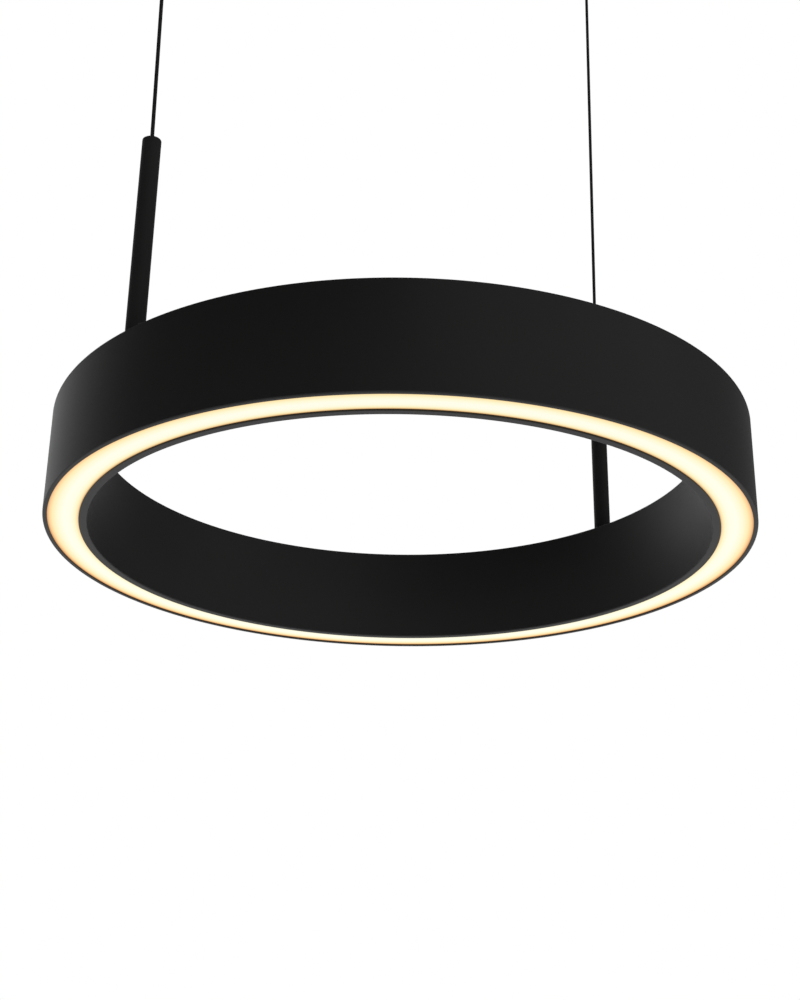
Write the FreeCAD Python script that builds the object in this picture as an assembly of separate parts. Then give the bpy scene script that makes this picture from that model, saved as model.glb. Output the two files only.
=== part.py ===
import FreeCAD, Part

import math
import os

# A ring-shaped LED pendant lamp on two cables, hanging from a straight ceiling canopy.
# Millimetres. z = 0 is the ceiling, the lamp hangs down -Z, and X runs through both cables.
# The driving dimensions come first; every other size and place is worked out from them.

V = FreeCAD.Vector
UP = V(0, 0, 1)
ALONG_X = V(1, 0, 0)
ALONG_Y = V(0, 1, 0)

# Ring
drop = 850.0                # ceiling to the underside of the ring
ring_radius = 300.0
ring_width = 36.5           # outer face to inner face
ring_height = 88.5
sheet = 1.6                 # rolled steel of the shells, their lips and the top plate
outer_lip = 3.8             # how far each shell turns in under the ring
inner_lip = 6.9
fold_radius = 1.2           # outside of the fold between wall and lip
edge_break = 0.35           # small flat on the visible edges
join_count = 4              # brackets, posts and boards round the ring
bracket_sheet = 1.5
bracket_leg = 18.0
bracket_sweep = 4.0         # degrees
post_diameter = 6.0
ring_screw_diameter = 2.9
ring_screw_length = 8.0
sunk_head_diameter = 6.0
pan_head = (5.4, 1.8)       # diameter and height
socket_size = 2.0           # hexagon key, across flats
socket_depth = 1.2

# Light source and diffuser
diffuser_thickness = 2.5
led_height = 36.0           # underside of the ring to the LED tray
tray_sheet = 1.5
tray_margin = 1.4           # shell wall to the tray
board_width = 16.0
board_thickness = 1.6
board_gap = 6.0             # degrees between boards
led_count = 24              # on each board
led_size = (3.5, 2.8, 0.8)
jumper_diameter = 1.4
jumper_inset = 2.5          # board edge to the jumper
jumper_overlap = 1.0        # degrees of each jumper under each board
connector_angle = 5.0       # from the tube's axis, round the ring
connector_size = (8.0, 12.0, 8.0)    # across the ring, along it, high
connector_stem = (3.8, 4.8)          # across and along, through the tray
clip_sheet = 1.0
clip_rise = 11.0
clip_foot = 3.4
clip_sweep = 2.0            # degrees
clip_gap = 0.5              # to the outer shell

# Suspension tubes and cables
tube_diameter = 15.5
tube_wall = 1.0
tube_length = 186.0
cable_diameter = 3.2
ball_diameter = 9.0         # ball crimped on the lower end of each cable
ball_neck = 1.6             # flat on the ball's top, wider than the cable by this
cap_length = 14.0
cap_roof = 3.2              # cap above the ball
cap_flare = 0.7             # the cap's hole opens by this at the top
foot_length = 14.0          # plug of the tube's foot
foot_stem_diameter = 10.0
foot_stem_below_nut = 2.0
foot_bore = 5.0
foot_nut = (17.0, 5.0)      # across flats and height
foot_washer = (20.0, 1.6)
lead_diameter = 2.0
drop_lead_bend = 4.0

# Canopy
canopy_length = 620.0
canopy_width = 50.0
canopy_depth = 34.0
canopy_sheet = 1.0
plate_sheet = 2.0
plate_gap = 2.0             # ceiling plate to the cover's side wall
tab_gap = 0.5               # end tab to the cover's end wall
tab_width = 24.0
tab_below_screw = 9.0
ceiling_hole_spacing = 400.0
ceiling_hole_diameter = 5.5
end_screw_diameter = 4.0
end_screw_depth = 11.0      # ceiling to the end screw's axis
end_screw_head = (8.0, 2.6)
end_screw_tail = 4.0        # past the tab
clinch_nut = (8.0, 3.0)
head_round = 0.8

# Cable grippers
gripper_inset = 18.0        # canopy end to the gripper's axis
gripper_diameter = 12.0
gripper_wall = 1.2
gripper_flange = (16.0, 3.0)
gripper_roof = 3.0          # over the chamber
gripper_nut = (17.0, 5.0)
barrel_stand_out = 5.0      # barrel below the cover
nozzle_stand_out = 5.0      # nozzle below the barrel
nozzle_lip = 4.0            # barrel below the taper
taper_length = 7.0
grip_ball_diameter = 2.3
grip_ball_proud = 0.15      # ball outside the nozzle
grip_ball_rise = 1.0        # foot of the taper to the balls
balls_in_grip = 3
collar_height = 1.5
spring_wire = 0.8
spring_turns = 6
cable_play = 0.35           # cable in the nozzle and the gripper
tail_space = 11.0           # gripper to the ceiling plate
bracket_width = 24.0
bracket_inside = 28.0       # between the bracket's legs
rivet_diameter = 3.0
rivet_head = (5.0, 1.0)
rivet_edge = (5.0, 3.0)     # from the bracket's ends and the plate's edge

# Driver, terminals and leads
driver_x = -98.0
driver_length = 150.0
driver_width = 30.0
driver_wall = 1.5
driver_room = 3.5           # driver to the cover
driver_board_gap = 1.6      # pillars under the circuit board
driver_board_margin = 3.0
pillar_size = 4.0
pillar_inset = (8.0, 5.0)
lug_length = 8.0
lug_thickness = 3.0
driver_lug_width = 14.0
transformer_size = (26.0, 20.0, 13.5)
input_capacitor = (10.0, 20.0)       # diameter and length
output_capacitor = (8.0, 14.0)
choke_size = (14.0, 6.0, 6.0)        # diameter, bore and height
board_places = (0.17, -0.375, -0.18)   # capacitors and choke, shares of the driver's length from its middle
terminal_x = 84.0
terminal_pitch = 12.0
terminal_depth = 20.0
terminal_height = 16.0
terminal_lug = (9.0, 10.0)
insert_diameter = 6.8
insert_length = 15.0
insert_bore = 3.0
terminal_screw = (2.6, 4.5)          # diameter, and from the housing's middle
terminal_screw_recess = 1.0
pole_count = 3
earth_place = (128.0, 8.0)
earth_tag = (9.0, 1.2)
mains_x = 168.0
mains_bore = 8.0
bush_wall = 2.0
bush_collar = (16.0, 4.0)
plate_screw_diameter = 2.8
lead_depth = 10.0           # plate's underside to the leads
lead_row = 5.0              # leads each side of the driver's middle
supply_rows = (16.0, 20.0)  # how far the two supply leads swing out
supply_runs = (56.0, 76.0)
supply_bend = 4.0
supply_entry = 16.0         # driver's end to the last turn
earth_row = 16.0
earth_bend = 3.0
earth_entry = 6.0           # tag to the last turn
tail_row = 14.0             # left cable tail, clear of the ceiling screw
tail_beside = 4.25          # right cable tail's middle to the driver's side
tail_headroom = 1.0         # ceiling plate to the tails' first bend
tail_gap = 0.3              # nozzle's mouth to the tail's end
tail_aside = (27.0, 54.0)   # gripper to where each tail starts and ends moving aside
tail_turn = (18.0, 13.5)    # driver's lug to the last turn, and along that turn

# Clearances
seat = 0.1                  # round pieces welded, pressed or screwed into each other
slack = 0.7                 # loose diffuser, each side
running = 0.1               # pieces that slide or turn in a bore
screw_slack = 0.25          # screws in plain holes
touch = 0.05                # small gap where a screw's shank meets its thread
barrel_slack = 0.5          # barrel in the cover
slot_slack = 0.3            # end screw in the cover's slot

parts = {}


# ---- Helpers ----

def cylinder(radius, low, high, x=0.0, y=0.0):
    return Part.makeCylinder(radius, high - low, V(x, y, low))


def rod(radius, length, start, direction):
    return Part.makeCylinder(radius, length, V(*start), direction)


def pipe(outer, inner, low, high, x=0.0, y=0.0):
    return cylinder(outer, low, high, x, y).cut(cylinder(inner, low, high, x, y))


def block(x, y, z):
    """A box from three pairs of limits, in either order."""
    low = V(min(x), min(y), min(z))
    return Part.makeBox(abs(x[1] - x[0]), abs(y[1] - y[0]), abs(z[1] - z[0]), low)


def centred(x, y, size_x, size_y, low, high):
    return block((x - size_x / 2, x + size_x / 2), (y - size_y / 2, y + size_y / 2), (low, high))


def turned(profile, x=0.0, y=0.0, start=0.0, sweep=360.0):
    """A closed outline of (radius, z) points turned about the vertical through x, y."""
    points = [V(radius, 0, z) for radius, z in profile]
    face = Part.Face(Part.makePolygon(points + points[:1]))
    shape = face.revolve(V(0, 0, 0), UP, sweep)
    shape.rotate(V(0, 0, 0), UP, start)
    shape.translate(V(x, y, 0))
    return shape if shape.Volume > 0 else shape.reversed()


def hexagon(across_flats, low, high, x=0.0, y=0.0):
    corner = V(across_flats / math.sqrt(3), 0, 0)
    outline = Part.makePolygon([FreeCAD.Rotation(UP, 60 * k) * corner + V(x, y, low) for k in range(7)])
    return Part.Face(outline).extrude(V(0, 0, high - low))


def hex_nut(size, bore_radius, high, x, y=0.0):
    across_flats, height = size
    return hexagon(across_flats, high - height, high, x, y).cut(cylinder(bore_radius, high - height, high, x, y))


def round_lead(points, radius, bend):
    """A round lead along straight runs joined by tangent arcs."""
    route = [V(*point) for point in points]
    edges = []
    start = route[0]
    for before, corner, after in zip(route, route[1:], route[2:]):
        back = (before - corner).normalize()
        ahead = (after - corner).normalize()
        half_turn = (math.pi - back.getAngle(ahead)) / 2
        reach = bend * math.tan(half_turn)
        middle = (back + ahead).normalize() * (bend / math.cos(half_turn) - bend)
        edges.append(Part.LineSegment(start, corner + back * reach).toShape())
        edges.append(Part.Arc(corner + back * reach, corner + middle, corner + ahead * reach).toShape())
        start = corner + ahead * reach
    edges.append(Part.LineSegment(start, route[-1]).toShape())
    path = Part.Wire(edges)
    section = Part.Wire(Part.makeCircle(radius, route[0], route[1] - route[0]))
    solid = path.makePipeShell([section], True, False)
    share = solid.Volume / (math.pi * radius ** 2 * path.Length)
    print(f"  lead: bends {bend:.1f}, length {path.Length:.1f}, volume over section x length {share:.4f}")
    return solid


def around(shape, angle):
    """A copy turned about the ring's axis."""
    copy = shape.copy()
    copy.rotate(V(0, 0, 0), UP, angle)
    return copy


def at_joins(shape):
    return [around(shape, angle) for angle in join_angles]


def both_sides(shape):
    return [shape, around(shape, 180)]


def keep(name, *solids):
    parts[name] = solids[0] if len(solids) == 1 else Part.makeCompound(list(solids))


def keep_pair(name, shape):
    """The same piece at both cables: the left one is the right one turned half round."""
    keep(name + "_right", shape)
    keep(name + "_left", around(shape, 180))


# ---- Heights and places that several pieces share ----

ring_low = -drop
ring_high = ring_low + ring_height
ring_inner = ring_radius - ring_width
ring_middle = ring_radius - ring_width / 2
outer_wall = ring_radius - sheet            # inside face of the outer shell
inner_wall = ring_inner + sheet             # inside face of the inner shell
join_angles = [(k + 0.5) * 360 / join_count for k in range(join_count)]
web_top = ring_high - sheet                 # underside of the top plate
web_under = web_top - bracket_sheet
tray_low = ring_low + led_height
tray_high = tray_low + tray_sheet
board_low = tray_low - board_thickness
diffuser_low = ring_low + sheet
diffuser_high = diffuser_low + diffuser_thickness
ring_screw = ring_screw_diameter / 2

tube_radius = tube_diameter / 2
tube_inside = tube_radius - tube_wall
tube_top = ring_high + tube_length
ball_radius = ball_diameter / 2
ball_height = tube_top - cap_roof - ball_radius
cable_radius = cable_diameter / 2
neck_radius = (cable_diameter + ball_neck) / 2
ball_flat = math.sqrt(ball_radius ** 2 - neck_radius ** 2)      # ball's centre to the flat on its top

plate_low = -plate_sheet
plate_end = canopy_length / 2 - canopy_sheet - tab_gap
plate_half = canopy_width / 2 - canopy_sheet - plate_gap
cover_inside = -canopy_depth + canopy_sheet
gripper_x = canopy_length / 2 - gripper_inset
gripper_top = plate_low - tail_space
flange_high = gripper_top - gripper_roof
web_high = flange_high - gripper_flange[1]                      # gripper bracket's web
web_low = web_high - plate_sheet
barrel = gripper_diameter / 2
barrel_low = -canopy_depth - barrel_stand_out
nozzle_low = barrel_low - nozzle_stand_out
nozzle_bore = cable_radius + cable_play
nozzle_radius = cable_radius + running + grip_ball_diameter - grip_ball_proud
rivet_x = bracket_width / 2 - rivet_edge[0]                     # either side of the gripper
rivet_y = plate_half - rivet_edge[1]
rivet_hole = rivet_diameter / 2 + touch
plate_screw = plate_screw_diameter / 2
lead_level = plate_low - lead_depth
driver_half = driver_length / 2
driver_low = cover_inside + driver_room + driver_wall
terminal_half = pole_count * terminal_pitch / 2
fixing_places = [(driver_x - driver_half - lug_length / 2, 0), (driver_x + driver_half + lug_length / 2, 0),
                 (terminal_x - terminal_half - terminal_lug[0] / 2, 0),
                 (terminal_x + terminal_half + terminal_lug[0] / 2, 0)]


# ---- Ring ----

def shell(face, wall, lip_edge, inwards):
    """One of the ring's two walls with its turned-in lip. inwards is the way from face to wall."""
    shape = turned([
        (lip_edge, ring_low), (face, ring_low), (face, ring_high - edge_break),
        (face + inwards * edge_break, ring_high), (wall, ring_high), (wall, ring_low + sheet),
        (lip_edge, ring_low + sheet)])
    fold = [edge for edge in shape.Edges
            if edge.BoundBox.ZMax < ring_low + touch and abs(edge.BoundBox.XMax - face) < touch]
    return shape.makeFillet(fold_radius, fold)


def make_shells():
    keep("outer_shell", shell(ring_radius, outer_wall, ring_radius - outer_lip, -1))
    keep("inner_shell", shell(ring_inner, inner_wall, ring_inner + inner_lip, 1))


def make_top_plate():
    plate = pipe(outer_wall - seat, inner_wall + seat, web_top, ring_high)
    hole = ring_screw + screw_slack
    sink = turned([(0, web_top), (hole, web_top), (sunk_head_diameter / 2 + screw_slack, ring_high), (0, ring_high)],
                  ring_middle)
    stem_hole = cylinder(foot_stem_diameter / 2 + seat, web_top, ring_high, ring_middle)
    for cutter in at_joins(sink) + both_sides(stem_hole):
        plate = plate.cut(cutter)
    keep("top_plate", plate)

    screw = turned([(0, ring_high - ring_screw_length), (ring_screw, ring_high - ring_screw_length),
                    (ring_screw, web_top), (sunk_head_diameter / 2, ring_high), (0, ring_high)], ring_middle)
    screw = screw.cut(hexagon(socket_size, ring_high - socket_depth, ring_high, ring_middle))
    keep("plate_screws", *at_joins(screw))


def make_brackets_and_posts():
    leg_low = web_top - bracket_leg
    inside, outside = inner_wall + seat, outer_wall - seat
    bracket = turned([
        (inside, leg_low), (inside + bracket_sheet, leg_low), (inside + bracket_sheet, web_under),
        (outside - bracket_sheet, web_under), (outside - bracket_sheet, leg_low), (outside, leg_low),
        (outside, web_top), (inside, web_top)], start=-bracket_sweep / 2, sweep=bracket_sweep)
    bracket = bracket.cut(cylinder(ring_screw + screw_slack, web_under, web_top, ring_middle))
    keep("shell_brackets", *at_joins(bracket))
    keep("tray_posts", *at_joins(pipe(post_diameter / 2, ring_screw + touch, tray_high, web_under, ring_middle)))


def make_tray():
    tray = pipe(outer_wall - tray_margin, inner_wall + tray_margin, tray_low, tray_high)
    across, along = connector_stem
    slot = centred(ring_middle, 0, across + 2 * seat, along + 2 * seat, tray_low, tray_high)
    for cutter in at_joins(cylinder(ring_screw + screw_slack, tray_low, tray_high, ring_middle)):
        tray = tray.cut(cutter)
    for cutter in both_sides(around(slot, connector_angle)):
        tray = tray.cut(cutter)
    keep("led_tray", tray)

    head_diameter, head_height = pan_head
    head_low = tray_low - head_height
    screw = cylinder(ring_screw, tray_low, tray_low + ring_screw_length, ring_middle)
    screw = screw.fuse(cylinder(head_diameter / 2, head_low, tray_low, ring_middle)).removeSplitter()
    screw = screw.cut(hexagon(socket_size, head_low, head_low + socket_depth, ring_middle))
    keep("tray_screws", *at_joins(screw))

    body = centred(ring_middle, 0, connector_size[0], connector_size[1], tray_high, tray_high + connector_size[2])
    stem = centred(ring_middle, 0, across, along, tray_low, tray_high)
    keep("board_connectors", *both_sides(around(body.fuse(stem).removeSplitter(), connector_angle)))


def make_boards():
    sweep = 360 / join_count - board_gap
    inside, outside = ring_middle - board_width / 2, ring_middle + board_width / 2
    length, width, height = led_size
    led = centred(ring_middle, 0, width, length, board_low - height, board_low)
    leds = []
    for k in range(join_count):
        start = k * 360 / join_count - sweep / 2
        board = turned([(inside, board_low), (outside, board_low), (outside, tray_low), (inside, tray_low)],
                       start=start, sweep=sweep)
        keep(f"led_board_{k + 1}", board)
        leds += [around(led, start + (n + 0.5) * sweep / led_count) for n in range(led_count)]
    keep("leds", *leds)

    wire = jumper_diameter / 2
    jumper_sweep = board_gap + 2 * jumper_overlap
    jumpers = []
    for radius in (inside + jumper_inset, outside - jumper_inset):
        section = Part.Face(Part.Wire(Part.makeCircle(wire, V(radius, 0, board_low - wire), ALONG_Y)))
        jumpers += at_joins(around(section.revolve(V(0, 0, 0), UP, jumper_sweep), -jumper_sweep / 2))
    keep("board_jumpers", *jumpers)


def make_diffuser():
    keep("diffuser", pipe(outer_wall - slack, inner_wall + slack, diffuser_low, diffuser_high))
    outside = outer_wall - clip_gap
    clip_count = 2 * join_count
    clip = turned([
        (outside - clip_foot, diffuser_high), (outside, diffuser_high), (outside, diffuser_high + clip_rise),
        (outside - clip_sheet, diffuser_high + clip_rise), (outside - clip_sheet, diffuser_high + clip_sheet),
        (outside - clip_foot, diffuser_high + clip_sheet)], start=-clip_sweep / 2, sweep=clip_sweep)
    keep("diffuser_clips", *[around(clip, k * 360 / clip_count) for k in range(clip_count)])


# ---- Tubes, and the ball joints in their tops ----

def make_tubes():
    tube = turned([
        (tube_inside, ring_high), (tube_radius, ring_high), (tube_radius, tube_top - edge_break),
        (tube_radius - edge_break, tube_top), (tube_inside, tube_top)], ring_middle)
    keep_pair("tube", tube)

    cap_low = tube_top - cap_length
    socket = ball_radius + running
    hole = neck_radius + running
    cap = cylinder(tube_inside - touch, cap_low, tube_top, ring_middle)
    cap = cap.cut(Part.makeSphere(socket, V(ring_middle, 0, ball_height)))
    cap = cap.cut(cylinder(socket, cap_low, ball_height, ring_middle))
    cap = cap.cut(turned([(0, ball_height), (hole, ball_height), (hole + cap_flare, tube_top), (0, tube_top)],
                         ring_middle))
    keep_pair("tube_cap", cap)

    ball = Part.makeSphere(ball_radius, V(ring_middle, 0, ball_height))
    ball = ball.cut(cylinder(ball_radius, ball_height + ball_flat, ball_height + ball_radius, ring_middle))
    keep_pair("ball_ferrule", ball)


def make_feet():
    washer_diameter, washer_height = foot_washer
    nut_high = web_top - washer_height
    stem_low = nut_high - foot_nut[1] - foot_stem_below_nut
    stem = foot_stem_diameter / 2
    foot = turned([
        (foot_bore / 2, stem_low), (stem, stem_low), (stem, ring_high), (tube_inside - touch, ring_high),
        (tube_inside - touch, ring_high + foot_length), (foot_bore / 2, ring_high + foot_length)], ring_middle)
    keep_pair("tube_foot", foot)
    washer = pipe(washer_diameter / 2, stem + touch, nut_high, web_top, ring_middle)
    keep("foot_washers", *both_sides(washer))
    keep("foot_nuts", *both_sides(hex_nut(foot_nut, stem + touch, nut_high, ring_middle)))


def make_drop_leads():
    """From the underside of each ball down its tube, and round to the connector on the tray."""
    face = ring_middle * math.sin(math.radians(connector_angle)) - connector_size[1] / 2 - seat
    height = tray_high + connector_size[2] / 2
    lead = round_lead([(ring_middle, 0, ball_height - ball_radius), (ring_middle, 0, height + drop_lead_bend),
                       (ring_middle, face / 2, height), (ring_middle, face, height)],
                      lead_diameter / 2, drop_lead_bend)
    keep("drop_leads", *both_sides(lead))


def make_cables():
    disc = Part.Face(Part.Wire(Part.makeCircle(cable_radius, V(gripper_x, 0, nozzle_low))))
    cable = disc.extrude(V(ring_middle - gripper_x, 0, ball_height + ball_flat - nozzle_low))
    keep_pair("cable", cable)


# ---- Cable grippers ----

def make_grippers():
    mouth = nozzle_radius + running
    chamber = barrel - gripper_wall
    taper_low = barrel_low + nozzle_lip
    taper_high = taper_low + taper_length
    flange = gripper_flange[0] / 2
    neck = barrel - gripper_wall / 2
    body = turned([
        (mouth, barrel_low), (barrel, barrel_low), (barrel, web_high), (flange, web_high), (flange, flange_high),
        (neck, flange_high), (neck, gripper_top), (nozzle_bore, gripper_top), (nozzle_bore, flange_high),
        (chamber, flange_high), (chamber, taper_high), (mouth + running, taper_low), (mouth, taper_low)], gripper_x)
    keep_pair("gripper_body", body)
    keep("gripper_nuts", *both_sides(hex_nut(gripper_nut, barrel + touch, web_low, gripper_x)))

    collar = chamber - cable_play
    collar_low = taper_high - collar_height / 2
    collar_high = collar_low + collar_height
    nozzle = turned([
        (nozzle_bore, nozzle_low), (nozzle_radius - edge_break, nozzle_low), (nozzle_radius, nozzle_low + edge_break),
        (nozzle_radius, collar_low), (collar, collar_low), (collar, collar_high), (nozzle_bore, collar_high)],
        gripper_x)
    grip_ball = grip_ball_diameter / 2
    centre = V(gripper_x, 0, taper_low + grip_ball_rise)
    balls = []
    for k in range(balls_in_grip):
        aim = FreeCAD.Rotation(UP, 360 * k / balls_in_grip) * ALONG_X
        nozzle = nozzle.cut(Part.makeCylinder(grip_ball + touch, nozzle_radius + running, centre, aim))
        balls.append(Part.makeSphere(grip_ball, centre + aim * (cable_radius + running + grip_ball)))
    keep_pair("nozzle", nozzle)
    keep("grip_balls_right", *balls)
    keep("grip_balls_left", *[around(ball, 180) for ball in balls])

    wire = spring_wire / 2
    low, high = collar_high + wire, flange_high - wire
    pitch = (high - low) / spring_turns
    coil = (nozzle_bore + chamber) / 2
    section = Part.Wire(Part.makeCircle(wire, V(coil, 0, 0), V(0, 1, pitch / (2 * math.pi * coil))))
    spring = Part.Wire(Part.makeHelix(pitch, high - low, coil)).makePipeShell([section], True, False)
    spring.translate(V(gripper_x, 0, low))
    keep_pair("grip_spring", spring)


def make_gripper_brackets():
    """A bridge under the plate that each gripper hangs in, its feet riveted to the plate."""
    leg_in = bracket_inside / 2
    leg_out = leg_in + plate_sheet
    foot_low = plate_low - plate_sheet
    x = (gripper_x - bracket_width / 2, gripper_x + bracket_width / 2)
    bracket = block(x, (-leg_out, leg_out), (web_low, web_high))
    rivets = []
    for side in (-1, 1):
        bracket = bracket.fuse(block(x, (side * leg_in, side * leg_out), (web_low, plate_low)))
        bracket = bracket.fuse(block(x, (side * leg_in, side * plate_half), (foot_low, plate_low)))
        for along in (-1, 1):
            place = (gripper_x + along * rivet_x, side * rivet_y)
            bracket = bracket.cut(cylinder(rivet_hole, foot_low, plate_low, *place))
            head = cylinder(rivet_head[0] / 2, foot_low - rivet_head[1], foot_low, *place)
            rivets += both_sides(head.fuse(cylinder(rivet_diameter / 2, foot_low, 0, *place)))
    bracket = bracket.cut(cylinder(barrel + seat, web_low, web_high, gripper_x))
    keep_pair("gripper_bracket", bracket.removeSplitter())
    keep("bracket_rivets", *rivets)


# ---- Ceiling plate and cover ----

def make_ceiling_plate():
    plate = block((-plate_end, plate_end), (-plate_half, plate_half), (plate_low, 0))
    tab_low = -end_screw_depth - tab_below_screw
    screw_hole = end_screw_diameter / 2 + seat
    for side in (-1, 1):
        tab_in, tab_out = side * (plate_end - plate_sheet), side * plate_end
        plate = plate.fuse(block((tab_in, tab_out), (-tab_width / 2, tab_width / 2), (tab_low, plate_low)))
        plate = plate.cut(rod(screw_hole, plate_sheet, (min(tab_in, tab_out), 0, -end_screw_depth), ALONG_X))
        plate = plate.cut(cylinder(ceiling_hole_diameter / 2, plate_low, 0, side * ceiling_hole_spacing / 2))
        for x in (side * (gripper_x - rivet_x), side * (gripper_x + rivet_x)):
            for y in (-rivet_y, rivet_y):
                plate = plate.cut(cylinder(rivet_hole, plate_low, 0, x, y))
    plate = plate.cut(cylinder(mains_bore / 2 + bush_wall, plate_low, 0, mains_x))
    for x, y in fixing_places + [earth_place]:
        plate = plate.cut(cylinder(plate_screw + touch, plate_low, 0, x, y))
    keep("ceiling_plate", plate.removeSplitter())

    neck = pipe(mains_bore / 2 + bush_wall - seat, mains_bore / 2, plate_low, 0, mains_x)
    collar = pipe(bush_collar[0] / 2, mains_bore / 2, plate_low - bush_collar[1], plate_low, mains_x)
    keep("mains_bush", neck.fuse(collar).removeSplitter())


def make_end_screws():
    """One screw through each end of the cover into a nut clinched in the plate's tab."""
    nut_diameter, nut_length = clinch_nut
    head_diameter, head_height = end_screw_head
    tab_in = plate_end - plate_sheet
    shank = end_screw_diameter / 2
    head_at = canopy_length / 2 + running
    nut_start = (tab_in - nut_length, 0, -end_screw_depth)
    nut = rod(nut_diameter / 2, nut_length, nut_start, ALONG_X).cut(rod(shank + touch, nut_length, nut_start, ALONG_X))
    keep("clinch_nuts", *both_sides(nut))
    tail = tab_in - end_screw_tail
    head = rod(head_diameter / 2, head_height, (head_at, 0, -end_screw_depth), ALONG_X)
    rim = [edge for edge in head.Edges if edge.BoundBox.XMin > head_at + head_height / 2]
    head = head.makeFillet(head_round, rim)
    screw = head.fuse(rod(shank, head_at - tail, (tail, 0, -end_screw_depth), ALONG_X))
    keep("cover_screws", *both_sides(screw.removeSplitter()))


def make_cover():
    """A channel, open at the top. Its end slots let it drop off the loosened end screws."""
    length, width = canopy_length / 2, canopy_width / 2
    outside = block((-length, length), (-width, width), (-canopy_depth, 0))
    low_edges = [edge for edge in outside.Edges if edge.BoundBox.ZMax < cover_inside]
    outside = outside.makeFillet(edge_break, low_edges)
    end, side = length - canopy_sheet, width - canopy_sheet
    cover = outside.cut(block((-end, end), (-side, side), (cover_inside, 0)))
    slot = end_screw_diameter / 2 + slot_slack
    barrel_hole = cylinder(barrel + barrel_slack, -canopy_depth, cover_inside, gripper_x)
    end_slot = block((end, length), (-slot, slot), (-end_screw_depth, 0)).fuse(
        rod(slot, canopy_sheet, (end, 0, -end_screw_depth), ALONG_X))
    for cutter in both_sides(barrel_hole) + both_sides(end_slot):
        cover = cover.cut(cutter)
    keep("cover", cover)


# ---- Electrics under the ceiling plate ----

def fixing_screw(place, under):
    """A pan-head screw up into the plate, its head under the height given."""
    diameter, height = pan_head
    head = cylinder(diameter / 2, under - height, under, *place)
    return head.fuse(cylinder(plate_screw, under, -touch, *place)).removeSplitter()


def lug(edge, out, length, width):
    return block((edge, edge + out * length), (-width / 2, width / 2), (plate_low - lug_thickness, plate_low))


def make_driver():
    half = driver_width / 2
    x = (driver_x - driver_half, driver_x + driver_half)
    case = block(x, (-half, half), (driver_low, plate_low))
    case = case.cut(block((x[0] + driver_wall, x[1] - driver_wall), (-half + driver_wall, half - driver_wall),
                          (driver_low, plate_low - driver_wall)))
    for out, edge in ((-1, x[0]), (1, x[1])):
        case = case.fuse(lug(edge, out, lug_length, driver_lug_width))
        for y in (-lead_row, lead_row):
            start = (min(edge, edge - out * driver_wall), y, lead_level)
            case = case.cut(rod(cable_radius + screw_slack, driver_wall, start, ALONG_X))
    for place in fixing_places[:2]:
        case = case.cut(cylinder(plate_screw + screw_slack, plate_low - lug_thickness, plate_low, *place))
    keep("driver_case", case.removeSplitter())

    lid = block(x, (-half, half), (driver_low - driver_wall, driver_low))
    for along in (-1, 1):
        for side in (-1, 1):
            px = driver_x + along * (driver_half - pillar_inset[0])
            py = side * (half - pillar_inset[1])
            lid = lid.fuse(centred(px, py, pillar_size, pillar_size, driver_low, driver_low + driver_board_gap))
    keep("driver_lid", lid.removeSplitter())

    low = driver_low + driver_board_gap
    high = low + board_thickness
    margin = 2 * driver_board_margin
    deck = centred(driver_x, 0, driver_length - margin, driver_width - margin, low, high)
    length, width, height = transformer_size
    diameter, bore, tall = choke_size
    places = [driver_x + share * driver_length for share in board_places]
    transformer = centred(driver_x, 0, length, width, high, high + height)
    choke = pipe(diameter / 2, bore / 2, high, high + tall, places[2])
    capacitors = [rod(across / 2, along, (place, 0, high + across / 2), ALONG_X)
                  for (across, along), place in zip((input_capacitor, output_capacitor), places)]
    keep("driver_board", deck, transformer, choke, *capacitors)


def make_terminals():
    low = plate_low - terminal_height
    depth = terminal_depth / 2
    screw_diameter, screw_row = terminal_screw
    screw_high = lead_level - lead_diameter / 2 - 2 * seat
    x = (terminal_x - terminal_half, terminal_x + terminal_half)
    housing = block(x, (-depth, depth), (low, plate_low))
    for out, edge in ((-1, x[0]), (1, x[1])):
        housing = housing.fuse(lug(edge, out, *terminal_lug))
    for place in fixing_places[2:]:
        housing = housing.cut(cylinder(plate_screw + screw_slack, plate_low - lug_thickness, plate_low, *place))
    inserts, screws = [], []
    for pole in (-1, 0, 1):
        px = terminal_x + pole * terminal_pitch
        start = (px, -insert_length / 2, lead_level)
        housing = housing.cut(rod(insert_diameter / 2 + seat, terminal_depth, (px, -depth, lead_level), ALONG_Y))
        insert = rod(insert_diameter / 2, insert_length, start, ALONG_Y)
        insert = insert.cut(rod(insert_bore / 2, insert_length, start, ALONG_Y))
        for py in (-screw_row, screw_row):
            housing = housing.cut(cylinder(screw_diameter / 2 + 3 * screw_slack, low, lead_level, px, py))
            insert = insert.cut(cylinder(screw_diameter / 2 + touch, lead_level - insert_diameter, lead_level, px, py))
            screws.append(cylinder(screw_diameter / 2, low + terminal_screw_recess, screw_high, px, py))
        inserts.append(insert)
    keep("terminal_housing", housing.removeSplitter())
    keep("terminal_inserts", *inserts)
    keep("terminal_screws", *screws)
    keep("fixing_screws", *[fixing_screw(place, plate_low - lug_thickness) for place in fixing_places])


def make_supply_leads():
    driver_end = driver_x + driver_half
    start = insert_length / 2
    leads = []
    for pole, side in ((0, -1), (1, 1)):
        x = terminal_x + (pole - 1) * terminal_pitch
        row, run = supply_rows[pole], supply_runs[pole]
        leads.append(round_lead([
            (x, start, lead_level), (x, row, lead_level), (x - run, row, lead_level),
            (driver_end + supply_entry, side * lead_row, lead_level),
            (driver_end - driver_wall, side * lead_row, lead_level)], lead_diameter / 2, supply_bend))
    keep("supply_leads", *leads)


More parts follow.
